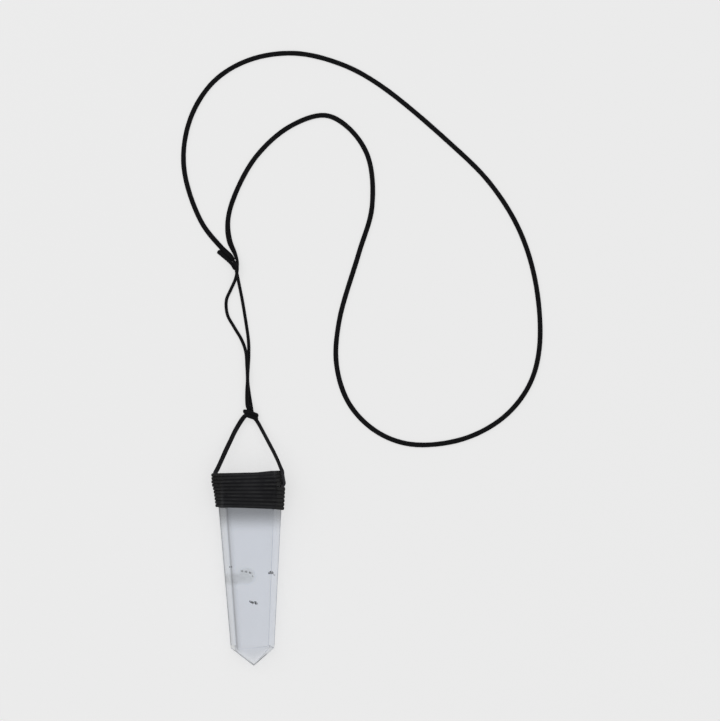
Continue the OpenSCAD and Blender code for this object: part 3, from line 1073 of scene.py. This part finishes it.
def cord_tree():
    """The tree that sweeps a cord of changing width along a path, and lays its UV map."""
    inputs = [(label, "Float") for label in CORD_INPUTS] + [("Sides", "Int")]
    graph, given = new_tree(CORD_TREE, "Path", inputs, "Cord")

    def stored(geometry, name, kind, value, domain="POINT"):
        inputs = {"Geometry": geometry, "Name": name, "Value": value}
        return graph.node("GeometryNodeStoreNamedAttribute", inputs, data_type=kind, domain=domain)

    def named(name, kind="FLOAT"):
        return graph.node("GeometryNodeInputNamedAttribute", {"Name": name}, data_type=kind)

    line = graph.node("GeometryNodeMeshToCurve", {"Mesh": given.of("Path")})
    inputs = {"Curve": line, "Length": given.of("Ring Gap")}
    line = graph.node("GeometryNodeResampleCurve", inputs, mode="LENGTH")
    along = graph.node("GeometryNodeSplineParameter", output="Length")
    whole = graph.node("GeometryNodeSplineLength", output="Length")
    line = stored(line, "mid", "FLOAT_VECTOR", graph.node("GeometryNodeInputPosition"))
    line = stored(line, "way", "FLOAT_VECTOR", graph.node("GeometryNodeInputTangent"))
    line = stored(line, "run", "FLOAT", along)
    line = stored(line, "left", "FLOAT", whole - along)
    inputs = {"Resolution": given.of("Sides"), "Radius": 0.001}
    ring = graph.node("GeometryNodeCurvePrimitiveCircle", inputs, mode="RADIUS")
    step = graph.node("GeometryNodeSplineParameter", output="Index")
    ring = stored(ring, "around", "FLOAT", step / given.of("Sides"))
    inputs = {"Curve": line, "Profile Curve": ring, "Fill Caps": True}
    tube = graph.node("GeometryNodeCurveToMesh", inputs)

    # Section: a rounded oblong across the way, closed in at both ends
    way = named("way", "FLOAT_VECTOR")
    asked = named("up", "FLOAT_VECTOR")
    up = (asked - way * way.only("DOT_PRODUCT", asked)).only("NORMALIZE")
    side = way.only("CROSS_PRODUCT", up)
    around = named("around")
    turn = around * (2 * math.pi)

    def boxed(wave):
        return wave.only("SIGN") * wave.only("ABSOLUTE") ** given.of("Squareness")

    nearest = named("run").only("MINIMUM", named("left"))
    close = 1.0 - (nearest / given.of("End Round")).only("MINIMUM", 1.0)
    closing = END_SHARE + (1.0 - END_SHARE) * (1.0 - close * close).only("SQRT")
    middle = named("mid", "FLOAT_VECTOR")
    swell = 1.0 + (graph.noise(middle, *CORD_SWELL) - 0.5) * SWELL
    full = named("width") * swell + given.of("Fuzz")
    wide = boxed(turn.only("COSINE")) * full * 0.5 * closing
    high = boxed(turn.only("SINE")) * given.of("Thickness") * 0.5 * closing
    spoke = side * wide + up * high
    lumps = graph.noise(middle + spoke, *CORD_LUMPS) - 0.5
    spoke = spoke + spoke.only("NORMALIZE") * (lumps * given.of("Unevenness"))
    inputs = {"Geometry": tube, "Position": middle + spoke}
    tube = graph.node("GeometryNodeSetPosition", inputs)

    # UV map: once round the cord, and the same scale along it. The face over the seam
    # has its first corners one round further, so that it doesn't run back over the map.
    of_face = graph.node("GeometryNodeFieldOnDomain", {0: around}, data_type="FLOAT", domain="FACE")
    past_seam = (of_face - around) > SEAM_SHARE
    place = graph.join(around + past_seam, named("run") / given.of("Girth"))
    tube = stored(tube, "UVMap", "FLOAT2", place, "CORNER")
    tube = graph.node("GeometryNodeSetShadeSmooth", {"Geometry": tube})
    return end_tree(graph, given, tube, "Cord")


def as_plain(source, name, tree, values):
    """A plain mesh object from a source object through a node tree with those inputs."""
    modifier = source.modifiers.new("nodes", "NODES")
    modifier.node_group = tree
    for item in tree.interface.items_tree:
        if item.item_type == "SOCKET" and item.in_out == "INPUT" and item.name in values:
            modifier[item.identifier] = values[item.name]
    bpy.context.view_layer.update()
    graph = bpy.context.evaluated_depsgraph_get()
    mesh = bpy.data.meshes.new_from_object(source.evaluated_get(graph))
    source.modifiers.clear()
    rough = source.data
    source.data = mesh
    bpy.data.meshes.remove(rough)
    mesh.name = name
    keep = ("position", "UVMap", "material_index", "sharp_face")
    for attribute in [a.name for a in mesh.attributes]:
        if attribute not in keep and not attribute.startswith("."):
            mesh.attributes.remove(mesh.attributes[attribute])
    if len(mesh.polygons) == 0:
        raise RuntimeError(f"{name} came out empty")
    return source


def new_object(name, data):
    """An object of that mesh, lamp or camera in the scene."""
    made = bpy.data.objects.new(name, data)
    bpy.context.scene.collection.objects.link(made)
    return made


def cord_finish(name, *look):
    """A cord material of that name and look, made once."""
    settings = bpy.context.scene.necklace.cord
    return bpy.data.materials.get(name) or new_material(name, waxed_cord, settings, *look)


def swept_cord(name, rows, ups, thickness, girth, gap, finish, fuzz, end_round=END_ROUND):
    """A plain mesh of cord along rows of x, y, z and width."""
    settings = bpy.context.scene.necklace.cord
    line = bpy.data.meshes.new(name + "_path")
    edges = [(i, i + 1) for i in range(len(rows) - 1)]
    line.from_pydata([row[:3] for row in rows], edges, [])
    put(line, "width", "FLOAT", [row[3] for row in rows])
    put(line, "up", "FLOAT_VECTOR", ups)
    values = {
        "Ring Gap": gap,
        "Sides": settings.sides,
        "Thickness": thickness,
        "Squareness": settings.squareness,
        "Girth": girth,
        "Fuzz": fuzz,
        "Unevenness": settings.unevenness,
        "End Round": end_round,
        "Material": cord_finish(*finish),
    }
    tree = bpy.data.node_groups.get(CORD_TREE) or cord_tree()
    return as_plain(new_object(name, line), name, tree, values)


def flake_tree():
    """The tree that scatters thin flakes over a sheet inside the quartz."""
    inputs = [(label, "Float") for label in FLAKE_INPUTS] + [("Seed", "Int")]
    graph, given = new_tree(FLAKE_TREE, "Sheet", inputs, "Flakes")
    seed = given.of("Seed")
    tilt = given.of("Tilt")
    inputs = {"Mesh": given.of("Sheet"), "Density": given.of("Density"), "Seed": seed}
    points = graph.node("GeometryNodeDistributePointsOnFaces", inputs, distribute_method="RANDOM")
    inputs = {
        "Min": graph.join(tilt * -1.0, tilt * -1.0, -math.pi),
        "Max": graph.join(tilt, tilt, math.pi),
        "Seed": seed,
    }
    spin = graph.node("FunctionNodeRandomValue", inputs, data_type="FLOAT_VECTOR")
    inputs = {
        "Min_001": given.of("Smallest"),
        "Max_001": given.of("Largest"),
        "Seed": seed + FLAKE_SIZE_SEED,
    }
    size = graph.node("FunctionNodeRandomValue", inputs, "Value_001", data_type="FLOAT")
    inputs = {
        "Points": points,
        "Instance": graph.node("GeometryNodeMeshIcoSphere", {"Radius": 1.0}),
        "Rotation": graph.node("FunctionNodeEulerToRotation", {"Euler": spin}),
        "Scale": graph.join(size, size * given.of("Slimness"), size * FLAKE_THINNESS),
    }
    flakes = graph.node("GeometryNodeInstanceOnPoints", inputs)
    return end_tree(graph, given, flakes, "Flakes")


def sheet_mesh(name, upper, lower, sag):
    """A small sheet inside the quartz, as a strip of quads between two rows of points."""
    quads = SHEET_QUADS
    points = []
    for a, b in zip(upper, lower):
        for k in range(quads + 1):
            x, y, z = mixed(a, b, k / quads)
            points.append((x, y, z - sag * math.sin(math.pi * k / quads)))
    faces = []
    for i in range(len(upper) - 1):
        for k in range(quads):
            here = i * (quads + 1) + k
            faces.append((here, here + 1, here + quads + 2, here + quads + 1))
    mesh = bpy.data.meshes.new(name)
    mesh.from_pydata(points, [], faces)
    return mesh


def add_mesh(whole, part):
    """Adds a part's faces to a whole, with the part's own materials."""
    first = len(whole.data.materials)
    for material in part.data.materials:
        whole.data.materials.append(material)
    joined = bmesh.new()
    joined.from_mesh(whole.data)
    kept = len(joined.faces)
    joined.from_mesh(part.data)
    joined.faces.ensure_lookup_table()
    for face in joined.faces[kept:]:
        face.material_index += first
    joined.to_mesh(whole.data)
    joined.free()
    mesh = part.data
    bpy.data.objects.remove(part)
    bpy.data.meshes.remove(mesh)


def faceted_crystal(name, edge_width):
    """The crystal of the solid with its true faces and slightly worn edges.

    Its three materials are those of the faces, the worn edges and the faces of the tip.
    """
    shape = bmesh.new()
    shape.from_mesh(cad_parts["crystal"].data)
    bmesh.ops.remove_doubles(shape, verts=shape.verts, dist=JOINED_WITHIN)
    bmesh.ops.dissolve_limit(
        shape, angle_limit=FLAT_WITHIN, verts=shape.verts, edges=shape.edges
    )
    bmesh.ops.bevel(
        shape,
        geom=list(shape.edges),
        offset=edge_width,
        offset_type="WIDTH",
        segments=2,
        profile=0.5,
        affect="EDGES",
        material=1,
    )
    bmesh.ops.recalc_face_normals(shape, faces=shape.faces)
    geom = [*shape.verts, *shape.edges, *shape.faces]
    cut = {"plane_co": (0.0, TIP_CUT_Y, 0.0), "plane_no": (0.0, 1.0, 0.0)}
    bmesh.ops.bisect_plane(shape, geom=geom, **cut)
    for face in shape.faces:
        y = face.calc_center_median().y
        faces_up = face.normal.z > FRONT_UP and abs(face.normal.x) < FRONT_LEAN
        on_tip = y < TIP_CUT_Y and face.material_index == 0
        if on_tip or faces_up and y < TIP_CUT_Y + TIP_RIM:
            face.material_index = 2
    for vertex in shape.verts:
        if vertex.co.x < LEFT_OF_MIDDLE:
            vertex.co.x -= LEFT_OUTWARD
    mesh = bpy.data.meshes.new(name)
    shape.to_mesh(mesh)
    shape.free()
    for layer in list(mesh.uv_layers):
        mesh.uv_layers.remove(layer)
    return mesh


class NECKLACE_OT_stage(bpy.types.Operator):
    """Sets the floor, the soft light and the camera of the photograph's view"""

    bl_idname = "necklace.stage"
    bl_label = "Stage"

    def execute(self, context):
        settings = context.scene.necklace.stage
        half = FLOOR_HALF
        mesh = bpy.data.meshes.new("floor")
        corners = [(-half, -half, 0.0), (half, -half, 0.0), (half, half, 0.0), (-half, half, 0.0)]
        mesh.from_pydata(corners, [], [(0, 1, 2, 3)])
        mesh.materials.append(new_material("pale_floor", pale_floor, settings))
        floor = new_object("floor", mesh)

        world = bpy.data.worlds.new("soft_room")
        world.use_nodes = True
        world.node_tree.nodes.clear()
        graph = Graph(world.node_tree)
        height = graph.parts(graph.node("ShaderNodeTexCoord", output="Generated"))[2]
        strength = graph.ramp(height, SKY_LOW, SKY_HIGH, settings.horizon, settings.zenith)
        inputs = {"Color": (1.0, 1.0, 1.0), "Strength": strength}
        light = graph.node("ShaderNodeBackground", inputs)
        graph.node("ShaderNodeOutputWorld", {"Surface": light})
        context.scene.world = world

        softbox = bpy.data.lights.new("softbox", "AREA")
        softbox.shape = "RECTANGLE"
        softbox.size, softbox.size_y = SOFTBOX_SIZE
        softbox.energy = SOFTBOX_POWER
        lamp = new_object("softbox", softbox)
        lamp.location = SOFTBOX_PLACE
        lamp.rotation_euler = [math.radians(turn) for turn in SOFTBOX_TURN]
        lamp.visible_camera = False

        lens = bpy.data.cameras.new("camera")
        lens.sensor_fit = "HORIZONTAL"
        lens.sensor_width = SENSOR_W
        lens.lens = SENSOR_W * CAMERA_HEIGHT / VIEW_WIDTH
        lens.clip_end = FAR_CLIP
        camera = new_object("camera", lens)
        camera.location = (*VIEW_MIDDLE, CAMERA_HEIGHT)
        context.scene.camera = camera
        context.scene.view_settings.view_transform = "Standard"
        return {"FINISHED"}


class NECKLACE_OT_neck_cord(bpy.types.Operator):
    """Lays the neck cord from its cut tail through the fold and round the whole loop"""

    bl_idname = "necklace.neck_cord"
    bl_label = "Neck cord"

    def execute(self, context):
        settings = context.scene.necklace.cord
        rows = smooth(NECK_ROUTE, ROUTE_STEPS, NECK_T / 2 + OFF_FLOOR)
        rows = reached_out(rows, TAIL_REACH, NECK_END_REACH)
        ups = [(0.0, 0.0, 1.0)] * len(rows)
        look = (NECK_T, NECK_GIRTH, settings.ring_gap, BLACK_CORD, settings.fuzz)
        cord = swept_cord("neck_loop", rows, ups, *look, NECK_END_ROUND)
        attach(cord, "root")
        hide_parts("neck_cord")
        return {"FINISHED"}


class NECKLACE_OT_knot(bpy.types.Operator):
    """Ties the small knot above the crystal, with its cut stub"""

    bl_idname = "necklace.knot"
    bl_label = "Knot"

    def execute(self, context):
        settings = context.scene.necklace.cord
        rows = knot_rows()
        ups = [row[4:7] for row in rows]
        look = (KNOT_CORD_T, KNOT_GIRTH, settings.tight_ring_gap, BLACK_CORD, settings.fuzz)
        knot = swept_cord("cord_knot", rows, ups, *look)
        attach(knot, "root")
        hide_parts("knot")
        return {"FINISHED"}


class NECKLACE_OT_pendant_cord(bpy.types.Operator):
    """Runs the thin cord from the binding through the knot, round the fold and back"""

    bl_idname = "necklace.pendant_cord"
    bl_label = "Pendant cord"

    def execute(self, context):
        settings = context.scene.necklace.cord
        rows = smooth(PENDANT_ROUTE, ROUTE_STEPS, STRAND_W / 2 + OFF_FLOOR)
        ups = carried_ups(rows)
        look = (STRAND_W, STRAND_GIRTH, settings.tight_ring_gap, THIN_CORD, settings.fuzz)
        cord = swept_cord("pendant_strands", rows, ups, *look)
        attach(cord, "root")
        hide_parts("left_leg", "hanging_loop", "right_leg")
        return {"FINISHED"}


class NECKLACE_OT_binding(bpy.types.Operator):
    """Winds the cord ten times round the wide end of the crystal"""

    bl_idname = "necklace.binding"
    bl_label = "Binding"

    def execute(self, context):
        gap = context.scene.necklace.cord.tight_ring_gap
        rows = binding_rows()
        ups = [row[4:7] for row in rows]
        look = (WOUND_T, WOUND_GIRTH, gap, BINDING_CORD, 0.0)
        binding = swept_cord("wound_binding", rows, ups, *look)
        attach(binding, "root")
        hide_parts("binding")
        return {"FINISHED"}


class NECKLACE_OT_crystal(bpy.types.Operator):
    """Dresses the quartz point: worn edges, clear quartz and what it encloses"""

    bl_idname = "necklace.crystal"
    bl_label = "Crystal"

    def execute(self, context):
        settings = context.scene.necklace.quartz
        crystal = new_object("quartz_point", faceted_crystal("quartz_point", settings.edge_width))
        for name, *surface in (
            ("clear_quartz", clear_quartz, QUARTZ_IOR, 0.0),
            ("worn_quartz_edge", worn_edge_painted_shade),
            ("clear_quartz_tip", clear_quartz, TIP_IOR, TIP_GLOSS),
        ):
            crystal.data.materials.append(new_material(name, *surface, tint=settings))
        finishes = {"quartz_haze": [haze]}
        finishes.update((name, [grain, *look]) for name, look in GRAINS.items())
        for name, finish, upper, lower, sag, sizes in ENCLOSED:
            material = bpy.data.materials.get(finish) or new_material(finish, *finishes[finish])
            part = new_object("enclosed_" + name, sheet_mesh(name, upper, lower, sag))
            if sizes:
                values = dict(zip(FLAKE_INPUTS, sizes), Seed=settings.seed, Material=material)
                tree = bpy.data.node_groups.get(FLAKE_TREE) or flake_tree()
                part = as_plain(part, name, tree, values)
            else:
                part.data.materials.append(material)
            add_mesh(crystal, part)
        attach(crystal, "root")
        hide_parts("crystal")
        return {"FINISHED"}


class NECKLACE_PT_panel(bpy.types.Panel):
    """Lists the pieces of the necklace and their settings"""

    bl_idname = "NECKLACE_PT_panel"
    bl_label = "Quartz Necklace"
    bl_space_type = "VIEW_3D"
    bl_region_type = "UI"
    bl_category = "Necklace"

    def draw(self, context):
        layout = self.layout
        for operator in OPERATORS:
            layout.operator(operator.bl_idname)
        settings = context.scene.necklace
        for group in (settings.cord, settings.quartz, settings.stage):
            box = layout.box()
            for name in group.bl_rna.properties.keys():
                if name not in ("rna_type", "name"):
                    box.prop(group, name)


OPERATORS = (
    NECKLACE_OT_stage,
    NECKLACE_OT_neck_cord,
    NECKLACE_OT_knot,
    NECKLACE_OT_pendant_cord,
    NECKLACE_OT_binding,
    NECKLACE_OT_crystal,
)
CLASSES = (
    CordSettings,
    QuartzSettings,
    StageSettings,
    NecklaceSettings,
    *OPERATORS,
    NECKLACE_PT_panel,
)


def register():
    """Registers the classes and hangs the settings on the scene."""
    for kind in CLASSES:
        bpy.utils.register_class(kind)
    bpy.types.Scene.necklace = bpy.props.PointerProperty(type=NecklaceSettings)


def unregister():
    """Takes the settings and the classes away again."""
    del bpy.types.Scene.necklace
    for kind in reversed(CLASSES):
        bpy.utils.unregister_class(kind)


def main():
    """Builds the whole scene."""
    register()
    bpy.ops.necklace.stage()
    bpy.ops.necklace.neck_cord()
    bpy.ops.necklace.knot()
    bpy.ops.necklace.pendant_cord()
    bpy.ops.necklace.binding()
    bpy.ops.necklace.crystal()


if __name__ == "__main__":
    main()
